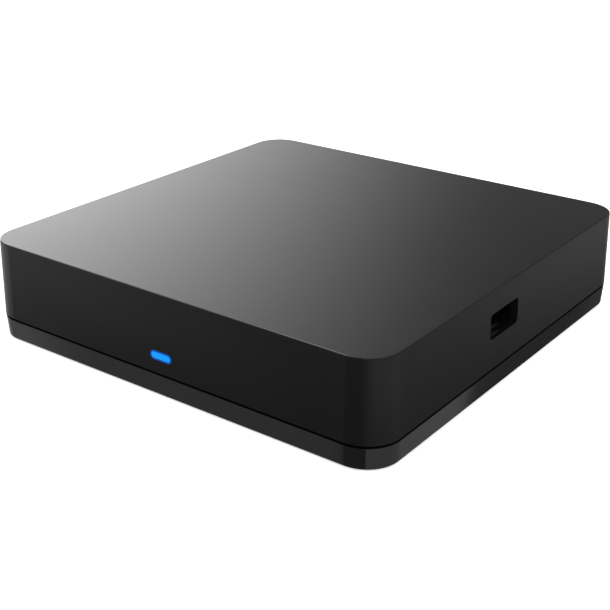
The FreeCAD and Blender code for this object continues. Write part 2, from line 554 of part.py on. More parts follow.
def make_aerials():
    """Two flexible aerials on the inside of the left wall and of the front wall."""
    x, y = AERIAL_LEFT_X, AERIAL_FRONT_Y
    left = block(x, x + AERIAL_T, *AERIAL_LEFT_SPAN, AERIAL_LOW, AERIAL_HIGH)
    front = block(*AERIAL_FRONT_SPAN, y, y + AERIAL_T, AERIAL_LOW, AERIAL_HIGH)
    return [left, front]


def make_aerial_cables():
    z = BOARD_Z + CABLE_PLUG_Z
    reach = AERIAL_PLUG_R + CABLE_GAP
    off_wall = AERIAL_T + AERIAL_CABLE_R + CLEAR
    (xa, ya), (xb, yb) = AERIAL_PLUGS
    left_bend, front_bend = CABLE_BENDS
    left_end = (AERIAL_LEFT_X + off_wall, CABLE_END_Y, CABLE_END_Z)
    front_end = (CABLE_END_X, AERIAL_FRONT_Y + off_wall, CABLE_END_Z)
    to_left = [(xa - reach, ya, z), (xa - 6.0, ya + 0.8, z + CABLE_LIFT), left_bend, left_end]
    to_front = [(xb - reach, yb, z), (xb - 5.0, yb - 2.0, z + CABLE_LIFT), front_bend, front_end]
    return [cable(to_left, AERIAL_CABLE_R), cable(to_front, AERIAL_CABLE_R)]


# ---------------------------------------------------------------- side USB receptacle


def usb_block(xs, y, w, z0, z1):
    return block(*xs, y - w / 2, y + w / 2, z0, z1)


def usb_bar(w, h, radius, x0):
    return rounded_bar(w, h, radius, USB_MOUTH_X - x0, (x0, USB_Y, USB_Z), RIGHT)


def make_usb_shell():
    outer = usb_bar(USB_SHELL_W, USB_SHELL_H, USB_SHELL_R, USB_BACK_X)
    inner_w, inner_h = USB_SHELL_W - 2 * USB_SHEET, USB_SHELL_H - 2 * USB_SHEET
    inner = usb_bar(inner_w, inner_h, USB_INNER_R, USB_BACK_X + USB_SHEET)
    z0, z1 = (USB_Z + up for up in USB_WINDOW_UP)
    windows = [usb_block(USB_WINDOW_X, y, USB_WINDOW_W, z0, z1) for y in USB_SPRINGS]
    return outer.cut([inner] + windows)


def make_usb_spring(y):
    """A sprung finger in the roof of the shell, which bears on the plug."""
    top = USB_Z + USB_SHELL_H / 2
    outline = [(x, y - USB_SPRING_W / 2, top + up) for x, up in USB_SPRING_OUTLINE]
    return prism(outline, V(0, USB_SPRING_W, 0))


def make_usb_insert():
    """The tongue and the block behind it, in one moulding."""
    block_w = USB_SHELL_W - 2 * (USB_SHEET + USB_BLOCK_GAP)
    half_h = USB_SHELL_H / 2 - USB_SHEET - CLEAR
    x0 = USB_BACK_X + USB_SHEET + CLEAR
    rear = usb_block((x0, USB_BLOCK_X), USB_Y, block_w, USB_Z - half_h, USB_Z + half_h)
    tongue = usb_block(USB_TONGUE_X, USB_Y, USB_TONGUE_W, *(USB_Z + up for up in USB_TONGUE_UP))
    groove_top = USB_Z + USB_GROOVE_UP
    grooves = [usb_block(USB_GROOVE_X, y, USB_GROOVE_W, USB_Z, groove_top) for y in USB_CONTACTS]
    return fused([rear, tongue]).cut(grooves)


def make_usb_contact(y):
    z0, z1 = USB_Z + USB_CONTACT_UP, USB_Z + USB_GROOVE_UP - TOUCH
    return usb_block(USB_CONTACT_X, y, USB_CONTACT_W, z0, z1)


def make_usb_riser():
    """The plastic block that lifts the receptacle above the board."""
    shell_low = USB_Z - USB_SHELL_H / 2
    foot = usb_block(USB_RISER_X, USB_Y, USB_RISER_W, BOARD_Z, shell_low - TOUCH)
    notch = usb_block(USB_NOTCH_X, USB_Y, USB_NOTCH_W, BOARD_Z - 1, BOARD_Z + USB_NOTCH_H)
    return foot.cut(notch)


# ---------------------------------------------------------------- rear connectors


def hdmi_profile(w, h, y):
    """The receptacle's outline: a bar whose lower corners step inward."""
    top, low = HDMI_Z + h / 2, HDMI_Z - h / 2
    half = [(w / 2, top), (w / 2, top - h * HDMI_STEP_DOWN), (w / 2 - h * HDMI_STEP_IN, low)]
    outline = half + [(-x, z) for x, z in reversed(half)]
    return [(HDMI_X + x, y, z) for x, z in outline]


def make_hdmi_shell():
    y0, y1 = REAR_Y - HDMI_SETBACK - HDMI_L, REAR_Y - HDMI_SETBACK
    along = V(0, HDMI_L, 0)
    inner_w, inner_h = HDMI_W - 2 * HDMI_SHEET, HDMI_H - 2 * HDMI_SHEET
    inner = prism(hdmi_profile(inner_w, inner_h, y0 + HDMI_SHEET), along)
    tube = prism(hdmi_profile(HDMI_W, HDMI_H, y0), along)
    flare_profile = hdmi_profile(HDMI_FLARE_W, HDMI_FLARE_H, y1 - HDMI_SHEET)
    flare = prism(flare_profile, V(0, HDMI_SHEET, 0))
    legs = []
    for x in (HDMI_X - HDMI_W / 2, HDMI_X + HDMI_W / 2 - HDMI_SHEET):
        for y in (y0 + leg for leg in HDMI_LEGS):
            legs.append(block(x, x + HDMI_SHEET, y, y + HDMI_LEG_W, BOARD_Z, HDMI_Z + HDMI_LEG_UP))
    return fused([tube, flare] + legs).cut(inner)


def hdmi_row(count, z):
    """A row of contact places, centred on the socket."""
    return [(HDMI_X + (i - (count - 1) / 2) * HDMI_PITCH, z) for i in range(count)]


def hdmi_contact_places():
    upper = hdmi_row(HDMI_UPPER, HDMI_Z + HDMI_TONGUE_HIGH - HDMI_GROOVE_D)
    lower = hdmi_row(HDMI_LOWER, HDMI_Z + HDMI_TONGUE_LOW)
    return upper + lower


def make_hdmi_insert():
    """The tongue and the block behind it, with a groove for each contact."""
    y0 = REAR_Y - HDMI_L
    tongue_end, half_w = REAR_Y - HDMI_RECESS, HDMI_TONGUE_W / 2
    low, high = HDMI_Z + HDMI_TONGUE_LOW, HDMI_Z + HDMI_TONGUE_HIGH
    rear = prism(hdmi_profile(HDMI_BLOCK_W, HDMI_BLOCK_H, y0), V(0, HDMI_BLOCK_L, 0))
    tongue = block(HDMI_X - half_w, HDMI_X + half_w, y0 + HDMI_TONGUE_ROOT, tongue_end, low, high)
    back, front, half = y0 + HDMI_BLOCK_L, tongue_end - HDMI_GROOVE_END, HDMI_GROOVE_W / 2
    grooves = []
    for x, z in hdmi_contact_places():
        grooves.append(block(x - half, x + half, back, front, z, z + HDMI_GROOVE_D))
    return fused([rear, tongue]).cut(grooves)


def make_hdmi_contact(x, z):
    y0, y1 = REAR_Y - HDMI_CONTACT_BACK, REAR_Y - HDMI_RECESS - HDMI_CONTACT_END
    half = HDMI_CONTACT_W / 2
    return block(x - half, x + half, y0, y1, z + TOUCH, z + HDMI_GROOVE_D - TOUCH)


def make_lan_shield():
    half, y0, top = LAN_W / 2, REAR_Y - LAN_L, BOARD_Z + LAN_H
    outer = block(LAN_X - half, LAN_X + half, y0, REAR_Y, BOARD_Z, top)
    inside = half - LAN_SHEET
    inner = block(LAN_X - inside, LAN_X + inside, y0 + LAN_SHEET, REAR_Y + 1, BOARD_Z - 1, top - LAN_SHEET)
    return outer.cut(inner)


def make_lan_housing():
    half = LAN_W / 2 - LAN_SHEET - CLEAR
    y0, y1 = REAR_Y - LAN_L + LAN_SHEET + CLEAR, REAR_Y - LAN_SHEET
    body = block(LAN_X - half, LAN_X + half, y0, y1, BOARD_Z, BOARD_Z + LAN_H - LAN_SHEET - CLEAR)
    mouth_back, mouth_half = y1 - LAN_MOUTH_L, LAN_MOUTH_W / 2
    steps = [(mouth_half, LAN_MOUTH_LOW, LAN_MOUTH_HIGH)] + LAN_KEY_STEPS
    cutters = []
    for half_w, low, high in steps:
        cutters.append(
            block(LAN_X - half_w, LAN_X + half_w, mouth_back, REAR_Y + 1, BOARD_Z + low, BOARD_Z + high)
        )
    for side in (-1, 1):
        x, w = LAN_X + side * LAN_LIGHT_X, LAN_LIGHT_W / 2 + CLEAR
        low, high = BOARD_Z + LAN_LIGHT_LOW - CLEAR, BOARD_Z + LAN_LIGHT_HIGH + CLEAR
        cutters.append(block(x - w, x + w, y1 - LAN_LIGHT_HOLE_L, REAR_Y + 1, low, high))
    return body.cut(cutters)


def make_lan_light(side):
    x, y1 = LAN_X + side * LAN_LIGHT_X, REAR_Y - LAN_SHEET - CLEAR
    half = LAN_LIGHT_W / 2
    low, high = BOARD_Z + LAN_LIGHT_LOW, BOARD_Z + LAN_LIGHT_HIGH
    return block(x - half, x + half, y1 - LAN_LIGHT_L, y1, low, high)


def make_lan_contact(i):
    """A sprung wire that hangs from the roof of the mouth and slopes inward."""
    middle = LAN_X + (i - (LAN_CONTACTS - 1) / 2) * LAN_CONTACT_PITCH
    x, roof = middle - LAN_CONTACT_W / 2, BOARD_Z + LAN_MOUTH_HIGH
    front_in, front_drop = LAN_CONTACT_FRONT
    back_in, back_high, back_low = LAN_CONTACT_BACK
    front, back = REAR_Y - front_in, REAR_Y - back_in
    outline = [(front, roof - front_drop), (front, roof - CLEAR)]
    outline += [(back, roof - back_high), (back, roof - back_low)]
    return prism([(x, y, z) for y, z in outline], V(LAN_CONTACT_W, 0, 0))


def make_optical_housing():
    half, y0 = OPTICAL_W / 2, REAR_Y - OPTICAL_L
    body = block(OPTICAL_X - half, OPTICAL_X + half, y0, REAR_Y, BOARD_Z, BOARD_Z + OPTICAL_H)
    mouth_half, mouth_back = OPTICAL_MOUTH_W / 2, REAR_Y - OPTICAL_MOUTH_L
    low, high = BOARD_Z + OPTICAL_MOUTH_LOW, BOARD_Z + OPTICAL_MOUTH_HIGH
    mouth = block(OPTICAL_X - mouth_half, OPTICAL_X + mouth_half, mouth_back, REAR_Y + 1, low, high)
    hole_start = (OPTICAL_X - HINGE_HOLE_L / 2, HINGE_Y, HINGE_Z)
    hinge_hole = rod(HINGE_PIN_R + HINGE_HOLE_GAP, hole_start, RIGHT, HINGE_HOLE_L)
    return body.cut([mouth, hinge_hole])


def make_optical_shutter():
    """The dust flap. It hangs from two stub pins, and a plug pushes it inward."""
    left, y0, y1 = OPTICAL_X - FLAP_W / 2, HINGE_Y - FLAP_T / 2, HINGE_Y + FLAP_T / 2
    low = BOARD_Z + OPTICAL_MOUTH_LOW + FLAP_GAP
    flap = block(left, left + FLAP_W, y0, y1, low, HINGE_Z)
    barrel = rod(FLAP_T / 2, (left, HINGE_Y, HINGE_Z), RIGHT, FLAP_W)
    pins = rod(HINGE_PIN_R, (OPTICAL_X - HINGE_PIN_L / 2, HINGE_Y, HINGE_Z), RIGHT, HINGE_PIN_L)
    rib_x0, rib_x1 = OPTICAL_X - FLAP_RIB_W / 2, OPTICAL_X + FLAP_RIB_W / 2
    rib_z0, rib_z1 = low + FLAP_RIB_INSET, HINGE_Z - FLAP_RIB_INSET
    rib = block(rib_x0, rib_x1, y1 - CLEAR, y1 + FLAP_RIB_T, rib_z0, rib_z1)
    return fused([flap, barrel, pins, rib])


def make_optical_emitter():
    place = (OPTICAL_X, REAR_Y - OPTICAL_MOUTH_L + TOUCH, BOARD_Z + EMITTER_UP)
    return rod(EMITTER_R, place, BACK, EMITTER_L)


def make_av_housing():
    y1 = REAR_Y - AV_SETBACK
    half = AV_BODY_W / 2
    body = block(AV_X - half, AV_X + half, y1 - AV_BODY_L, y1, BOARD_Z, BOARD_Z + AV_BODY_H)
    nose_length = REAR_Y - AV_FLANGE_T - y1 + OVERLAP
    nose = rounded_bar(AV_NOSE_W, AV_NOSE_W, AV_NOSE_CORNER, nose_length, (AV_X, y1 - OVERLAP, AV_Z), BACK)
    bore = rod(AV_BORE_R, (AV_X, AV_BORE_BACK, AV_Z), BACK, AV_BORE_FRONT - AV_BORE_BACK)
    ring_seat = rod(AV_RING_R + TOUCH, (AV_X, AV_BORE_FRONT, AV_Z), BACK, 2 * WALL)
    return fused([body, nose]).cut([bore, ring_seat])


def make_av_ring():
    """The metal ring around the socket's mouth: a sleeve, a flange, and a flared way in."""
    sleeve = rod(AV_RING_R, (AV_X, AV_BORE_FRONT + TOUCH, AV_Z), BACK, REAR_Y - AV_BORE_FRONT - TOUCH)
    flange = rod(AV_FLANGE_R, (AV_X, REAR_Y - AV_FLANGE_T + TOUCH, AV_Z), BACK, AV_FLANGE_T - TOUCH)
    hole = rod(AV_BORE_R, (AV_X, AV_BORE_FRONT - 1, AV_Z), BACK, 2 * WALL)
    flare = Part.makeCone(AV_BORE_R, AV_BORE_R + AV_FLARE, AV_FLARE, V(AV_X, REAR_Y - AV_FLARE, AV_Z), BACK)
    return fused([sleeve, flange]).cut([hole, flare])


def make_dc_housing():
    y1 = REAR_Y - DC_SETBACK
    half = DC_BODY_W / 2
    body = block(DC_X - half, DC_X + half, y1 - DC_BODY_L, y1, BOARD_Z, BOARD_Z + DC_BODY_H)
    nose = rod(DC_NOSE_R, (DC_X, y1 - OVERLAP, DC_Z), BACK, REAR_Y - y1 + OVERLAP)
    bore_back = REAR_Y - DC_BORE_L
    bore = rod(DC_BORE_R, (DC_X, bore_back, DC_Z), BACK, DC_BORE_L + 1)
    seat = rod(DC_ROOT_R + TOUCH, (DC_X, bore_back - DC_ROOT_L - TOUCH, DC_Z), BACK, DC_ROOT_L + 1)
    return fused([body, nose]).cut([bore, seat])


def make_dc_pin():
    """The centre contact: a thick root held in the housing, and a round-ended pin."""
    bore_back = REAR_Y - DC_BORE_L
    root = rod(DC_ROOT_R, (DC_X, bore_back - DC_ROOT_L, DC_Z), BACK, DC_ROOT_L)
    pin = rod(DC_PIN_R, (DC_X, bore_back, DC_Z), BACK, DC_PIN_L)
    tip = Part.makeSphere(DC_PIN_R, V(DC_X, bore_back + DC_PIN_L, DC_Z))
    return fused([root, pin, tip])


# ---------------------------------------------------------------- reset switch


def make_reset_body():
    half, top = RESET_BODY / 2, BOARD_Z + RESET_BODY_H
    body = block(RESET_X - half, RESET_X + half, RESET_FACE_Y - RESET_BODY_D, RESET_FACE_Y, BOARD_Z, top)
    guide = rod(RESET_STEM_R + CLEAR, (RESET_X, RESET_STOP_Y, RESET_Z), BACK, RESET_GUIDE_L)
    chamber_back = RESET_STOP_Y - RESET_STOP_T - RESET_TRAVEL - RESET_CHAMBER_GAP
    chamber_start = (RESET_X, chamber_back, RESET_Z)
    chamber = rod(RESET_STOP_R + RESET_CHAMBER_GAP, chamber_start, BACK, RESET_CHAMBER_L)
    return body.cut([guide, chamber])


def make_reset_frame():
    """The bent steel cover that clips over the switch."""
    half, sheet = RESET_BODY / 2 + RESET_FRAME_GAP, RESET_SHEET
    y0, y1, top = RESET_FACE_Y - RESET_FRAME_D, RESET_FACE_Y + TOUCH, BOARD_Z + RESET_BODY_H + CLEAR
    outer = block(RESET_X - half - sheet, RESET_X + half + sheet, y0, y1 + sheet, BOARD_Z, top + sheet)
    inner = block(RESET_X - half, RESET_X + half, y0 - 1, y1, BOARD_Z - 1, top)
    hole = rod(RESET_STEM_R + RESET_FRAME_HOLE_GAP, (RESET_X, y1 - 1, RESET_Z), BACK, 2 * WALL)
    return outer.cut([inner, hole])


def make_reset_plunger():
    stem_back = RESET_STOP_Y - RESET_STEM_ROOT
    stop = rod(RESET_STOP_R, (RESET_X, RESET_STOP_Y - RESET_STOP_T, RESET_Z), BACK, RESET_STOP_T)
    stem = rod(RESET_STEM_R, (RESET_X, stem_back, RESET_Z), BACK, RESET_TIP_Y - stem_back)
    return fused([stop, stem])


# ---------------------------------------------------------------- write every piece


def save_case():
    save("top_cover", [make_top_cover()])
    save("base", [make_base()])
    save("light_pipe", [make_light_pipe()])
    save("rubber_feet", [make_foot(*place) for place in FEET])
    save("rating_label", [make_rating_label()])
    save("case_screws", [make_case_screw(*place) for place in CASE_FIXINGS])
    save("board_screws", [make_board_screw(*place) for place in BOARD_FIXINGS])


def save_board():
    save("main_board", [make_main_board()])
    save("soc_chip", [centred_block(SOC_X, SOC_Y, BOARD_Z, SOC_SIDE, SOC_SIDE, SOC_H)])
    save("thermal_pad", [centred_block(SOC_X, SOC_Y, BOARD_Z + SOC_H, SOC_SIDE, SOC_SIDE, PAD_H)])
    save("heatsink", [make_heatsink()])
    save("heatsink_pins", [make_push_pin(*place) for place in PUSH_PINS])
    spring_z = SINK_Z + SINK_PLATE + SPRING_WIRE_R + 0.1
    save("heatsink_springs", [coil_spring(x, y, spring_z) for x, y in PUSH_PINS])
    save("memory_chips", [make_memory_chip(*place) for place in MEMORY_PLACES])
    save("storage_chip", [centred_block(*STORAGE_PLACE, BOARD_Z, *STORAGE_SIZE)])
    save("power_chips", make_power_chips())
    save("inductors", [make_inductor(*place) for place in INDUCTOR_PLACES])
    save("bulk_capacitors", [make_bulk_capacitor(*place) for place in CAPACITOR_PLACES])
    save("small_parts", make_small_parts())
    save("crystals", [make_crystal(*place) for place in CRYSTAL_PLACES])
    save("lan_transformer", make_lan_transformer())
    save("wifi_board", [make_wifi_board()])
    save("wifi_shield", [make_wifi_shield()])
    save("aerial_plugs", [make_aerial_plug(*place) for place in AERIAL_PLUGS])
    save("aerials", make_aerials())
    save("aerial_cables", make_aerial_cables())
    save("status_light", [centred_block(0.0, STATUS_Y, BOARD_Z, *STATUS_SIZE)])


def save_connectors():
    save("usb_shell", [make_usb_shell()])
    save("usb_springs", [make_usb_spring(y) for y in USB_SPRINGS])
    save("usb_insert", [make_usb_insert()])
    save("usb_contacts", [make_usb_contact(y) for y in USB_CONTACTS])
    save("usb_riser", [make_usb_riser()])
    save("hdmi_shell", [make_hdmi_shell()])
    save("hdmi_insert", [make_hdmi_insert()])
    save("hdmi_contacts", [make_hdmi_contact(*place) for place in hdmi_contact_places()])
    save("lan_shield", [make_lan_shield()])
    save("lan_housing", [make_lan_housing()])
    save("lan_lights", [make_lan_light(side) for side in (-1, 1)])
    save("lan_contacts", [make_lan_contact(i) for i in range(LAN_CONTACTS)])
    save("optical_housing", [make_optical_housing()])
    save("optical_shutter", [make_optical_shutter()])
    save("optical_emitter", [make_optical_emitter()])
    save("av_housing", [make_av_housing()])
    save("av_ring", [make_av_ring()])
    save("dc_housing", [make_dc_housing()])
    save("dc_pin", [make_dc_pin()])
    save("reset_body", [make_reset_body()])
    save("reset_frame", [make_reset_frame()])
    save("reset_plunger", [make_reset_plunger()])


os.makedirs(OUT_DIR, exist_ok=True)
save_case()
save_board()
save_connectors()
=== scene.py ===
import math

import bpy
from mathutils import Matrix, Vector


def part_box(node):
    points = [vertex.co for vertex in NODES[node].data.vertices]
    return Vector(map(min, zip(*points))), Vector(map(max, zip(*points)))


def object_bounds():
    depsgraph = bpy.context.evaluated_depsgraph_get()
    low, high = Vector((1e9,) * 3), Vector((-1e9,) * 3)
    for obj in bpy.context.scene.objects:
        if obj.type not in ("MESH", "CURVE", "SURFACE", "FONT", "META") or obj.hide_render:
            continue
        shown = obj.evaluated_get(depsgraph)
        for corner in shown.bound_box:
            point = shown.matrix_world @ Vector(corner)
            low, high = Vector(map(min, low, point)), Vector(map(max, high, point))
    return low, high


# The looks of a small black streaming media player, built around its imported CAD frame. In metres.

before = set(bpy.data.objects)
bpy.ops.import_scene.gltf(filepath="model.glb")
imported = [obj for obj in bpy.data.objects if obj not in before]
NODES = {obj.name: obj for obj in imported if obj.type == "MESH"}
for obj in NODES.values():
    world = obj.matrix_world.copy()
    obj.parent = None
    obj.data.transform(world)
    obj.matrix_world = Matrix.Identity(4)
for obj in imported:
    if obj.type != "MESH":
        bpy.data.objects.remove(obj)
CAD_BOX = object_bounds()

MM = 0.001
CASE_LOW, CASE_HIGH = CAD_BOX
CASE_WIDTH = CASE_HIGH.x - CASE_LOW.x
FOOT_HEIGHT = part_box("base")[0].z

# Camera, as shares of the case's width, measured from the middle of its underside
CAMERA_AZIMUTH = 36.788
CAMERA_ELEVATION = 23.945
CAMERA_DISTANCE = 2.615
CAMERA_AIM = (-0.02011, -0.00611, 0.01520)
CAMERA_LENS, CAMERA_SENSOR = 68.33, 36.0
CAMERA_CLIP = (0.01, 20.0)

# A face of the case is outside when it faces away from the middle of the case, seen from this far out.
# Heights are stretched, because the case is much wider than it is tall.
SKIN_REACH = (18 * MM, 22 * MM)
SKIN_MIDDLE_Z, SKIN_STRETCH = 14 * MM, 2.5

# The foot of the cover reflects the table close to the case, which the case itself shades: from a low
# height to a high one, and the shares of the reflection left at each
TABLE_SHADE = (4 * MM, 28 * MM, 0.50, 1.12)

# The lit pill in the front wall: half its width, half its height, and the height of its middle
PILL_HALF_W, PILL_HALF_H, PILL_Z = 3.375 * MM, 1.175 * MM, 10.9 * MM
PILL_RIM = (0.60, 0.72)
PILL_MIDDLE_BLUE, PILL_RIM_BLUE = (0.006, 0.325, 0.950), (0.003, 0.080, 0.470)
PILL_GLASS = (0.002, 0.010, 0.030)
PILL_STRENGTH = (0.97, 1.01)

# Two painted highlights, pale glints in the mouth of the USB opening: ranges along X, Y and Z from the
# front, lower corner of the socket's shell. Each has soft edges, and a long fade at its far end along Y.
FLOOR_PAINTED_GLINT = ((-1.3 * MM, -0.6 * MM), (0.0, 7.6 * MM), (0.1 * MM, 0.5 * MM))
SILL_PAINTED_GLINT = ((-0.2 * MM, 0.8 * MM), (-1.0 * MM, 5.5 * MM), (-0.7 * MM, -0.3 * MM))
GLINT_SOFT, GLINT_FADE = 0.2 * MM, 5.5 * MM

# The board's tracks, drawn as the joints of a brick pattern
TRACK_PITCH, TRACK_WIDTH, TRACK_SHIFT, TRACK_SQUASH = 14 * MM, 0.03, 0.5, 0.6
TRACK_GREEN, MASK_GREEN = (0.03, 0.16, 0.06), (0.012, 0.075, 0.035)

# Noise stays mostly between these two values, so ramps over it run from one to the other
NOISE_LOW, NOISE_HIGH = 0.3, 0.7

# The floor, and the soft light above it: where it hangs, its width and depth, and its power in watts
FLOOR_REACH, FLOOR_GAP = 4.0, 0.02 * MM
FLOOR_PAINT, FLOOR_WORN, FLOOR_GLOW = (0.93, 0.93, 0.93), (0.95, 0.95, 0.95), 0.55
OVERHEAD_PLACE, OVERHEAD_SIZE, OVERHEAD_POWER = (-0.2, 0.1, 0.9), (1.2, 1.2), 2.0
WORLD_LIGHT = 1.0
WHITE, ROOM_GREY = (1.0, 1.0, 1.0, 1.0), (0.8, 0.8, 0.8, 1.0)

# The room that shows in glossy surfaces: azimuths in degrees from +Y, positive to the right, heights as
# sines, and lights as radiance. These values were fitted to the look of the reference, face by face.
WINDOW_AZIMUTHS, WINDOW_LIGHT = (-60.0, -26.0), (2.86, 0.135)
WINDOW_HEIGHTS, WINDOW_SHARES = (0.10, 0.50), (2.60, 0.66)
WINDOW_END = (-88.0, -60.0, 0.12, 1.0)
HIGH_LIGHT, HIGH_HEIGHTS, HIGH_LEVEL = (-150.0, -45.0, 20.0, 20.0), (0.66, 0.93, 0.10, 0.06), 4.5
BACK_WALL, BACK_WALL_LIGHT = (-10.0, 75.0, 24.0, 40.0), 0.28
OVERHEAD_HEIGHTS, OVERHEAD_LIGHT = (0.60, 0.95), 1.0
FAR_DARK = 0.035
FAR_LEFT, FAR_LEFT_LIGHT = (-147.0, -116.0), 0.55
FAR_LEFT_END = (-60.0, -20.0)
FAR_LEFT_HEIGHTS, FAR_LEFT_SHARES = (-0.52, -0.36), (0.40, 1.30)
FAR_RIGHT, FAR_RIGHT_LIGHT = (42.0, 143.0, 40.0, 50.0), 0.36
FAR_EDGE, FAR_EDGE_HEIGHTS, FAR_EDGE_LIGHT = (-15.0, 38.0, 20.0, 26.0), (-0.47, -0.315), 0.37
NEAR_DARK = 0.09
NEAR_LEFT, NEAR_LEFT_RISE = (-142.4, -40.0, 0.4, 20.0), (-128.8, -122.2, 0.21, 0.66)
NEAR_RIGHT, NEAR_RIGHT_RISE = (23.9, 146.0, 0.3, 5.0), (30.0, 125.0, 0.26, 0.39)
NEAR_RIGHT_START = (23.0, 31.0, 0.06, 0.0)
NEAR_EDGE, NEAR_EDGE_LIGHT = (12.0, 18.6, 4.0, 1.6), 0.07
SPLIT_FRONT = (-160.0, -146.0, -0.515, -0.474)
SPLIT_BEHIND, SPLIT_RIGHT = (-30.0, 0.0, 0.0, 0.114), (15.0, 29.0, 0.0, -0.155)
SPLIT_SOFT = 0.006
HORIZON = (-0.04, 0.04)


# ---------------------------------------------------------------- node helpers


class Graph:
    """A node tree, with short calls that add a node and feed it."""

    def __init__(self, tree):
        self.tree = tree
        tree.nodes.clear()

    def node(self, kind, **settings):
        made = self.tree.nodes.new(kind)
        for key, value in settings.items():
            setattr(made, key, value)
        return made

    def link(self, source, target):
        self.tree.links.new(source, target)

    def feed(self, target, value):
        """Puts a number, a colour or another node's output into an input."""
        if isinstance(value, bpy.types.NodeSocket):
            self.link(value, target)
        elif isinstance(value, (int, float)):
            target.default_value = value
        else:
            target.default_value = (*value, 1.0)[: len(target.default_value)]

    def math(self, operation, a, b=0.0):
        made = self.node("ShaderNodeMath", operation=operation)
        self.feed(made.inputs[0], a)
        self.feed(made.inputs[1], b)
        return made.outputs[0]

    def ramp(self, value, low, high, to_low=0.0, to_high=1.0):
        """A smooth step from to_low to to_high as value goes from low to high."""
        made = self.node("ShaderNodeMapRange", interpolation_type="SMOOTHSTEP")
        for target, part in zip(made.inputs, (value, low, high, to_low, to_high)):
            self.feed(target, part)
        return made.outputs["Result"]

    def mix(self, share, a, b):
        made = self.node("ShaderNodeMix", data_type="RGBA")
        self.feed(made.inputs[0], share)
        self.feed(made.inputs[6], a)
        self.feed(made.inputs[7], b)
        return made.outputs[2]


class Skin(Graph):
    """A material built round one Principled shader."""

    def __init__(self, name):
        self.material = bpy.data.materials.new(name)
        self.material.use_nodes = True
        super().__init__(self.material.node_tree)
        self.shader = self.node("ShaderNodeBsdfPrincipled")
        self.output = self.node("ShaderNodeOutputMaterial")
        self.link(self.shader.outputs["BSDF"], self.output.inputs["Surface"])
        self.place = self.node("ShaderNodeTexCoord").outputs["Object"]

    def set(self, **values):
        for key, value in values.items():
            self.feed(self.shader.inputs[key.replace("_", " ")], value)

    def axes(self):
        """The X, Y and Z of the point being coloured."""
        split = self.node("ShaderNodeSeparateXYZ")
        self.link(self.place, split.inputs[0])
        return list(split.outputs)

    def noise(self, size, detail=2.0, stretch=(1, 1, 1)):
        """Noise whose features are about size metres across."""
        moved = self.node("ShaderNodeMapping")
        self.link(self.place, moved.inputs["Vector"])
        moved.inputs["Scale"].default_value = stretch
        made = self.node("ShaderNodeTexNoise")
        self.link(moved.outputs[0], made.inputs["Vector"])
        made.inputs["Scale"].default_value = 1.0 / size
        made.inputs["Detail"].default_value = detail
        return made.outputs["Fac"]

    def clear_from_behind(self):
        """Makes the surface show only from its front."""
        choose = self.node("ShaderNodeMixShader")
        self.link(self.node("ShaderNodeNewGeometry").outputs["Backfacing"], choose.inputs[0])
        self.link(self.shader.outputs["BSDF"], choose.inputs[1])
        self.link(self.node("ShaderNodeBsdfTransparent").outputs[0], choose.inputs[2])
        self.link(choose.outputs[0], self.output.inputs["Surface"])

    def bump(self, height, depth):
        made = self.node("ShaderNodeBump")
        made.inputs["Distance"].default_value = depth
        self.feed(made.inputs["Height"], height)
        self.link(made.outputs["Normal"], self.shader.inputs["Normal"])


# ---------------------------------------------------------------- materials


def moulded_plastic(
    name, colour, roughness, grain=0.35 * MM, grain_depth=0.008 * MM, specular=0.5, drift=0.03
):
    """Moulded plastic: a fine spark-eroded grain, and a slow drift in colour and roughness."""
    s = Skin(name)
    fine = s.noise(grain, 3.0)
    slow = s.noise(24 * MM, 2.0)
    pale = tuple(min(1.0, c * 1.25 + 0.001) for c in colour)
    s.set(Base_Color=s.mix(slow, colour, pale))
    s.set(Roughness=s.ramp(slow, NOISE_LOW, NOISE_HIGH, roughness - drift, roughness + drift))
    s.set(Specular_IOR_Level=specular)
    s.bump(fine, grain_depth)
    return s


def outward(s):
    """One on the outside of the case, and nought on its inner faces and inside its openings."""
    geometry = s.node("ShaderNodeNewGeometry")
    from_middle = s.node("ShaderNodeMapping", vector_type="POINT")
    s.link(s.place, from_middle.inputs["Vector"])
    from_middle.inputs["Location"].default_value = (0, 0, -SKIN_MIDDLE_Z * SKIN_STRETCH)
    from_middle.inputs["Scale"].default_value = (1, 1, SKIN_STRETCH)
    dot = s.node("ShaderNodeVectorMath", operation="DOT_PRODUCT")
    s.link(geometry.outputs["Normal"], dot.inputs[0])
    s.link(from_middle.outputs[0], dot.inputs[1])
    return s.ramp(dot.outputs["Value"], *SKIN_REACH)


def case_plastic(name, colour, roughness, specular, grain, grain_depth, table_shade=None):
    """Outside plastic, dull and nearly black on its inner faces, whose colour is raised as painted light in
    the seam. table_shade dims what its foot reflects.
    """
    s = moulded_plastic(name, colour, roughness, grain, grain_depth, drift=0.006)
    skin = outward(s)
    reflection = s.math("MULTIPLY", skin, specular)
    if table_shade:
        reflection = s.math("MULTIPLY", reflection, s.ramp(s.axes()[2], *table_shade))
    s.set(Specular_IOR_Level=reflection)
    # painted light: inner faces 1.5 times paler than the outside, so the seam between cover and base shows
    # less dark
    inner_colour_with_painted_light = tuple(c * 1.5 for c in colour)
    outer = s.shader.inputs["Base Color"].links[0].from_socket
    s.set(Base_Color=s.mix(skin, inner_colour_with_painted_light, outer))
    return s


def add_painted_glint(s, reach, colour):
    """Paints one of the glints in the mouth of the USB opening, a painted highlight."""
    low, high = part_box("usb_shell")
    corner = (high.x, low.y, low.z)
    x, y, z = s.axes()
    (x0, x1), (y0, y1), (z0, z1) = [(at + a, at + b) for at, (a, b) in zip(corner, reach)]
    across = between(s, x, x0, x1, GLINT_SOFT, GLINT_SOFT)
    level = between(s, z, z0, z1, GLINT_SOFT, GLINT_SOFT)
    along = between(s, y, y0, y1, GLINT_SOFT, GLINT_FADE)
    share = s.math("MULTIPLY", s.math("MULTIPLY", across, level), along)
    plain = s.shader.inputs["Base Color"].links[0].from_socket
    s.set(Base_Color=s.mix(share, plain, colour))


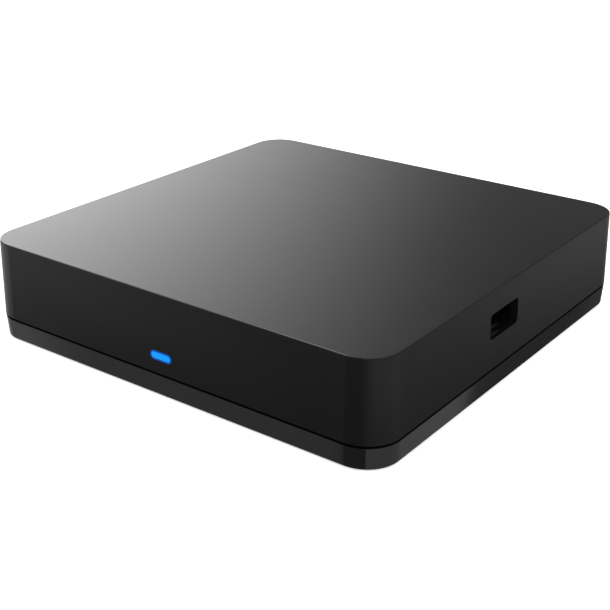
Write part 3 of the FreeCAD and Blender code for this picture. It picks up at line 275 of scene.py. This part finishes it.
def metal(name, colour, roughness, stretch=(1, 1, 1), grain=0.5 * MM):
    """Plated or drawn metal with fine streaks along one direction."""
    s = Skin(name)
    streaks = s.noise(grain, 3.0, stretch)
    cloud = s.noise(6 * MM, 2.0)
    dark = tuple(c * 0.82 for c in colour)
    s.set(Metallic=1.0, Base_Color=s.mix(cloud, dark, colour))
    s.set(Roughness=s.ramp(streaks, NOISE_LOW, NOISE_HIGH, roughness - 0.05, roughness + 0.07))
    s.bump(streaks, 0.004 * MM)
    return s


def rubber(name, colour):
    """Matt rubber with a coarse grain, paler where it is worn."""
    s = Skin(name)
    grain = s.noise(0.25 * MM, 4.0)
    worn = s.noise(3 * MM, 2.0)
    s.set(Base_Color=s.mix(worn, colour, tuple(c * 1.6 for c in colour)))
    s.set(Roughness=s.ramp(worn, NOISE_LOW, NOISE_HIGH, 0.72, 0.88), Specular_IOR_Level=0.35)
    s.bump(grain, 0.03 * MM)
    return s


def circuit_board(name):
    """Green solder mask over copper, with paler tracks a little below the rest."""
    s = Skin(name)
    cells = s.node("ShaderNodeTexBrick", offset=TRACK_SHIFT, squash=TRACK_SQUASH)
    s.link(s.place, cells.inputs["Vector"])
    cells.inputs["Scale"].default_value = 1 / TRACK_PITCH
    cells.inputs["Mortar Size"].default_value = TRACK_WIDTH
    between_tracks = s.math("SUBTRACT", 1.0, cells.outputs["Fac"])
    s.set(Base_Color=s.mix(between_tracks, TRACK_GREEN, MASK_GREEN))
    s.set(Roughness=0.28, Specular_IOR_Level=0.5)
    s.bump(between_tracks, 0.02 * MM)
    return s


def lit_window(name):
    """The pill window: bright blue, with a deeper blue rim where the wall shades it."""
    s = Skin(name)
    low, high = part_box("light_pipe")
    x, _, z = s.axes()
    across = s.math("ABSOLUTE", s.math("SUBTRACT", x, (low.x + high.x) / 2))
    along = s.math("MAXIMUM", s.math("SUBTRACT", across, PILL_HALF_W - PILL_HALF_H), 0.0)
    upward = s.math("SUBTRACT", z, PILL_Z)
    squares = s.math("ADD", s.math("MULTIPLY", along, along), s.math("MULTIPLY", upward, upward))
    reach = s.math("SQRT", squares)
    rim = s.ramp(reach, *(PILL_HALF_H * share for share in PILL_RIM))
    glow = s.mix(rim, PILL_MIDDLE_BLUE, PILL_RIM_BLUE)
    flicker = s.ramp(s.noise(1.5 * MM), NOISE_LOW, NOISE_HIGH, *PILL_STRENGTH)
    s.set(Base_Color=PILL_GLASS, Roughness=0.3, Specular_IOR_Level=0.1)
    s.set(Emission_Color=glow, Emission_Strength=flicker)
    return s


def glowing(name, colour, strength):
    """A small lamp or lens that gives off a little light, a bit uneven across its face."""
    s = Skin(name)
    dim = tuple(c * 0.7 for c in colour)
    cloud = s.mix(s.noise(0.8 * MM), colour, dim)
    s.set(Base_Color=colour, Roughness=0.2, Emission_Color=cloud, Emission_Strength=strength)
    return s


def blank_film(name):
    """A blank matt label film."""
    s = Skin(name)
    fibres = s.noise(0.6 * MM, 3.0)
    s.set(Base_Color=s.mix(fibres, (0.05, 0.05, 0.053), (0.07, 0.07, 0.074)), Roughness=0.55)
    s.bump(fibres, 0.005 * MM)
    return s


def assign(skin, *names):
    """Gives every named node this material alone."""
    for name in names:
        slots = NODES[name].data.materials
        slots.clear()
        slots.append(skin.material)


def dress_case():
    cover_black, base_black = (0.0040, 0.0040, 0.0042), (0.0034, 0.0034, 0.0036)
    cover = case_plastic("cover_satin", cover_black, 0.28, 0.5, 0.35 * MM, 0.0010 * MM, TABLE_SHADE)
    # painted highlight: a faint pale glint on the sill of the USB opening
    add_painted_glint(cover, SILL_PAINTED_GLINT, (0.030, 0.030, 0.031))
    assign(cover, "top_cover")
    assign(case_plastic("base_gloss", base_black, 0.05, 0.8, 0.5 * MM, 0.0005 * MM), "base")
    assign(lit_window("blue_window"), "light_pipe")
    assign(rubber("foot_rubber", (0.02, 0.02, 0.021)), "rubber_feet")
    assign(blank_film("label_film"), "rating_label")


def dress_metals():
    assign(metal("black_zinc", (0.10, 0.10, 0.11), 0.32), "case_screws", "board_screws")
    nickel = metal("nickel_sheet", (0.62, 0.60, 0.56), 0.22, (1, 8, 1))
    assign(nickel, "hdmi_shell", "lan_shield", "dc_pin", "reset_frame", "wifi_shield", "crystals")
    black_nickel = metal("black_nickel", (0.07, 0.07, 0.075), 0.4)
    # painted highlight: a pale glint on the floor of the USB socket's shell
    add_painted_glint(black_nickel, FLOOR_PAINTED_GLINT, (0.45, 0.45, 0.46))
    assign(black_nickel, "usb_shell", "usb_springs")
    gold = metal("gold_flash", (0.75, 0.48, 0.16), 0.2, grain=0.2 * MM)
    assign(gold, "hdmi_contacts", "lan_contacts", "av_ring", "aerial_plugs")
    assign(metal("usb_gold", (0.10, 0.07, 0.03), 0.35), "usb_contacts")
    assign(metal("spring_wire", (0.55, 0.55, 0.57), 0.25), "heatsink_springs")
    fins = metal("anodised_fins", (0.55, 0.56, 0.58), 0.38, (1, 12, 1))
    assign(fins, "heatsink", "bulk_capacitors")


def dress_sockets():
    insulator = moulded_plastic("socket_plastic", (0.010, 0.010, 0.011), 0.45, 0.3 * MM)
    assign(insulator, "hdmi_insert", "lan_housing", "optical_housing", "av_housing", "dc_housing")
    assign(insulator, "usb_riser", "reset_body")
    assign(moulded_plastic("usb_plastic", (0.003, 0.003, 0.003), 0.6, specular=0.1), "usb_insert")
    flap = moulded_plastic("flap_plastic", (0.022, 0.022, 0.024), 0.4, 0.3 * MM)
    assign(flap, "optical_shutter")
    assign(moulded_plastic("button_plastic", (0.30, 0.30, 0.31), 0.4), "reset_plunger")
    assign(glowing("port_lamps", (0.20, 0.42, 0.20), 0.02), "lan_lights")
    assign(glowing("red_lens", (0.35, 0.01, 0.01), 0.3), "optical_emitter")


def dress_board():
    chips = moulded_plastic("chip_epoxy", (0.020, 0.020, 0.021), 0.6, 0.12 * MM, 0.01 * MM)
    assign(chips, "soc_chip", "memory_chips", "storage_chip", "power_chips", "lan_transformer")
    assign(moulded_plastic("ferrite", (0.06, 0.06, 0.065), 0.7, 0.2 * MM), "inductors")
    assign(moulded_plastic("small_ceramic", (0.35, 0.25, 0.15), 0.5, 0.3 * MM), "small_parts")
    assign(moulded_plastic("nylon", (0.75, 0.75, 0.70), 0.45), "heatsink_pins")
    assign(rubber("silicone_pad", (0.35, 0.37, 0.40)), "thermal_pad")
    assign(rubber("cable_jacket", (0.03, 0.03, 0.032)), "aerial_cables")
    assign(moulded_plastic("aerial_film", (0.03, 0.02, 0.012), 0.3), "aerials")
    assign(circuit_board("solder_mask"), "main_board", "wifi_board")
    assign(glowing("status_chip", (0.1, 0.45, 1.0), 1.5), "status_light")


# ---------------------------------------------------------------- stage, light and camera


def pale_floor():
    """A plain floor just below the feet. It shows only from above, and glossy surfaces do not see it."""
    mesh = bpy.data.meshes.new("floor")
    reach, z = FLOOR_REACH, -FLOOR_GAP
    corners = [(-reach, -reach, z), (reach, -reach, z), (reach, reach, z), (-reach, reach, z)]
    mesh.from_pydata(corners, [], [(0, 1, 2, 3)])
    floor = bpy.data.objects.new("floor", mesh)
    bpy.context.scene.collection.objects.link(floor)
    floor.visible_glossy = False
    s = Skin("floor_paint")
    paint = s.mix(s.noise(0.2), FLOOR_PAINT, FLOOR_WORN)
    s.set(Base_Color=paint, Roughness=0.9, Specular_IOR_Level=0.0)
    s.set(Emission_Color=paint, Emission_Strength=FLOOR_GLOW)
    s.clear_from_behind()
    mesh.materials.append(s.material)


def overhead_light():
    """A wide soft light above the case, aimed at its middle and not seen by glossy surfaces."""
    data = bpy.data.lights.new("overhead", "AREA")
    data.shape = "RECTANGLE"
    data.size, data.size_y = OVERHEAD_SIZE
    data.energy = OVERHEAD_POWER
    light = bpy.data.objects.new("overhead", data)
    light.location = OVERHEAD_PLACE
    light.rotation_mode = "QUATERNION"
    light.rotation_quaternion = (-Vector(OVERHEAD_PLACE)).to_track_quat("-Z", "Y")
    light.visible_glossy = False
    bpy.context.scene.collection.objects.link(light)


def between(g, value, low, high, soft_low, soft_high):
    """One between low and high, fading to nought over soft_low and soft_high on either side."""
    rise = g.ramp(value, low - soft_low / 2, low + soft_low / 2)
    fall = g.ramp(value, high - soft_high / 2, high + soft_high / 2, 1.0, 0.0)
    return g.math("MULTIPLY", rise, fall)


def total(g, first, *others):
    """The sum of any number of values."""
    for other in others:
        first = g.math("ADD", first, other)
    return first


def blend(g, share, a, b):
    """The number a where share is nought, and b where it is one."""
    return g.math("ADD", a, g.math("MULTIPLY", share, g.math("SUBTRACT", b, a)))


def reflected_room(g):
    """How bright the room is in each direction, as glossy surfaces see it."""
    axes = g.node("ShaderNodeSeparateXYZ")
    g.link(g.node("ShaderNodeTexCoord").outputs["Generated"], axes.inputs[0])
    x, y, height = axes.outputs
    azimuth = g.math("MULTIPLY", g.math("ARCTAN2", x, y), 180 / math.pi)

    # Above the table: a large soft light behind on the left, a dim wall behind, and lights overhead
    window = g.ramp(azimuth, *WINDOW_AZIMUTHS, *WINDOW_LIGHT)
    window = g.math("MULTIPLY", window, g.ramp(azimuth, *WINDOW_END))
    window = g.math("MULTIPLY", window, g.ramp(height, *WINDOW_HEIGHTS, *WINDOW_SHARES))
    wall = g.math("MULTIPLY", between(g, azimuth, *BACK_WALL), BACK_WALL_LIGHT)
    overhead = g.ramp(height, *OVERHEAD_HEIGHTS, 0.0, OVERHEAD_LIGHT)
    high = g.math("MULTIPLY", between(g, azimuth, *HIGH_LIGHT), between(g, height, *HIGH_HEIGHTS))
    high = g.math("MULTIPLY", high, HIGH_LEVEL)
    above = g.math("MAXIMUM", g.math("MAXIMUM", window, wall), g.math("MAXIMUM", overhead, high))

    # The far part of the table: pale on both sides of the front, and at the far edge
    left = g.ramp(azimuth, *FAR_LEFT, 0.0, FAR_LEFT_LIGHT)
    left = g.math("MULTIPLY", left, g.ramp(azimuth, *FAR_LEFT_END, 1.0, 0.0))
    left = g.math("MULTIPLY", left, g.ramp(height, *FAR_LEFT_HEIGHTS, *FAR_LEFT_SHARES))
    right = g.math("MULTIPLY", between(g, azimuth, *FAR_RIGHT), FAR_RIGHT_LIGHT)
    edge = g.ramp(height, *FAR_EDGE_HEIGHTS, 0.0, FAR_EDGE_LIGHT)
    edge = g.math("MULTIPLY", between(g, azimuth, *FAR_EDGE), edge)
    far = total(g, left, right, edge, FAR_DARK)

    # The near part of the table, with a dark wedge in front of the case and another behind on the right
    left = g.math("MULTIPLY", between(g, azimuth, *NEAR_LEFT), g.ramp(azimuth, *NEAR_LEFT_RISE))
    right = g.math("ADD", g.ramp(azimuth, *NEAR_RIGHT_RISE), g.ramp(azimuth, *NEAR_RIGHT_START))
    right = g.math("MULTIPLY", between(g, azimuth, *NEAR_RIGHT), right)
    edge = g.math("MULTIPLY", between(g, azimuth, *NEAR_EDGE), NEAR_EDGE_LIGHT)
    near = total(g, left, right, edge, NEAR_DARK)

    # The height where the near part ends and the far part starts
    split = total(g, *(g.ramp(azimuth, *step) for step in (SPLIT_FRONT, SPLIT_BEHIND, SPLIT_RIGHT)))
    is_far = g.ramp(g.math("SUBTRACT", height, split), -SPLIT_SOFT, SPLIT_SOFT)
    below = blend(g, is_far, near, far)
    horizon = g.ramp(height, *HORIZON)
    return blend(g, horizon, below, above)


def studio_world():
    """White for the eye and for diffuse light. Glossy surfaces see a darker room of soft lights."""
    world = bpy.data.worlds.new("studio")
    bpy.context.scene.world = world
    world.use_nodes = True
    g = Graph(world.node_tree)
    plain = g.node("ShaderNodeBackground")
    plain.inputs["Color"].default_value = WHITE
    plain.inputs["Strength"].default_value = WORLD_LIGHT
    mirrored = g.node("ShaderNodeBackground")
    mirrored.inputs["Color"].default_value = ROOM_GREY
    g.link(reflected_room(g), mirrored.inputs["Strength"])
    choose = g.node("ShaderNodeMixShader")
    g.link(g.node("ShaderNodeLightPath").outputs["Is Glossy Ray"], choose.inputs[0])
    g.link(plain.outputs[0], choose.inputs[1])
    g.link(mirrored.outputs[0], choose.inputs[2])
    output = g.node("ShaderNodeOutputWorld")
    g.link(choose.outputs[0], output.inputs["Surface"])


def add_camera():
    data = bpy.data.cameras.new("camera")
    data.lens = CAMERA_LENS
    data.sensor_width = CAMERA_SENSOR
    camera = bpy.data.objects.new("camera", data)
    turn, rise = math.radians(CAMERA_AZIMUTH), math.radians(CAMERA_ELEVATION)
    back = Vector((math.sin(turn) * math.cos(rise), -math.cos(turn) * math.cos(rise), math.sin(rise)))
    aim = Vector(CAMERA_AIM) * CASE_WIDTH + Vector((0, 0, FOOT_HEIGHT))
    camera.location = aim + back * CAMERA_DISTANCE * CASE_WIDTH
    camera.rotation_mode = "QUATERNION"
    camera.rotation_quaternion = (-back).to_track_quat("-Z", "Y")
    data.clip_start, data.clip_end = CAMERA_CLIP
    bpy.context.scene.collection.objects.link(camera)
    bpy.context.scene.camera = camera


def light_stage():
    pale_floor()
    studio_world()
    overhead_light()
    scene = bpy.context.scene
    scene.view_settings.view_transform = "Standard"
    scene.view_settings.look = "None"


dress_case()
dress_metals()
dress_sockets()
dress_board()
light_stage()
add_camera()
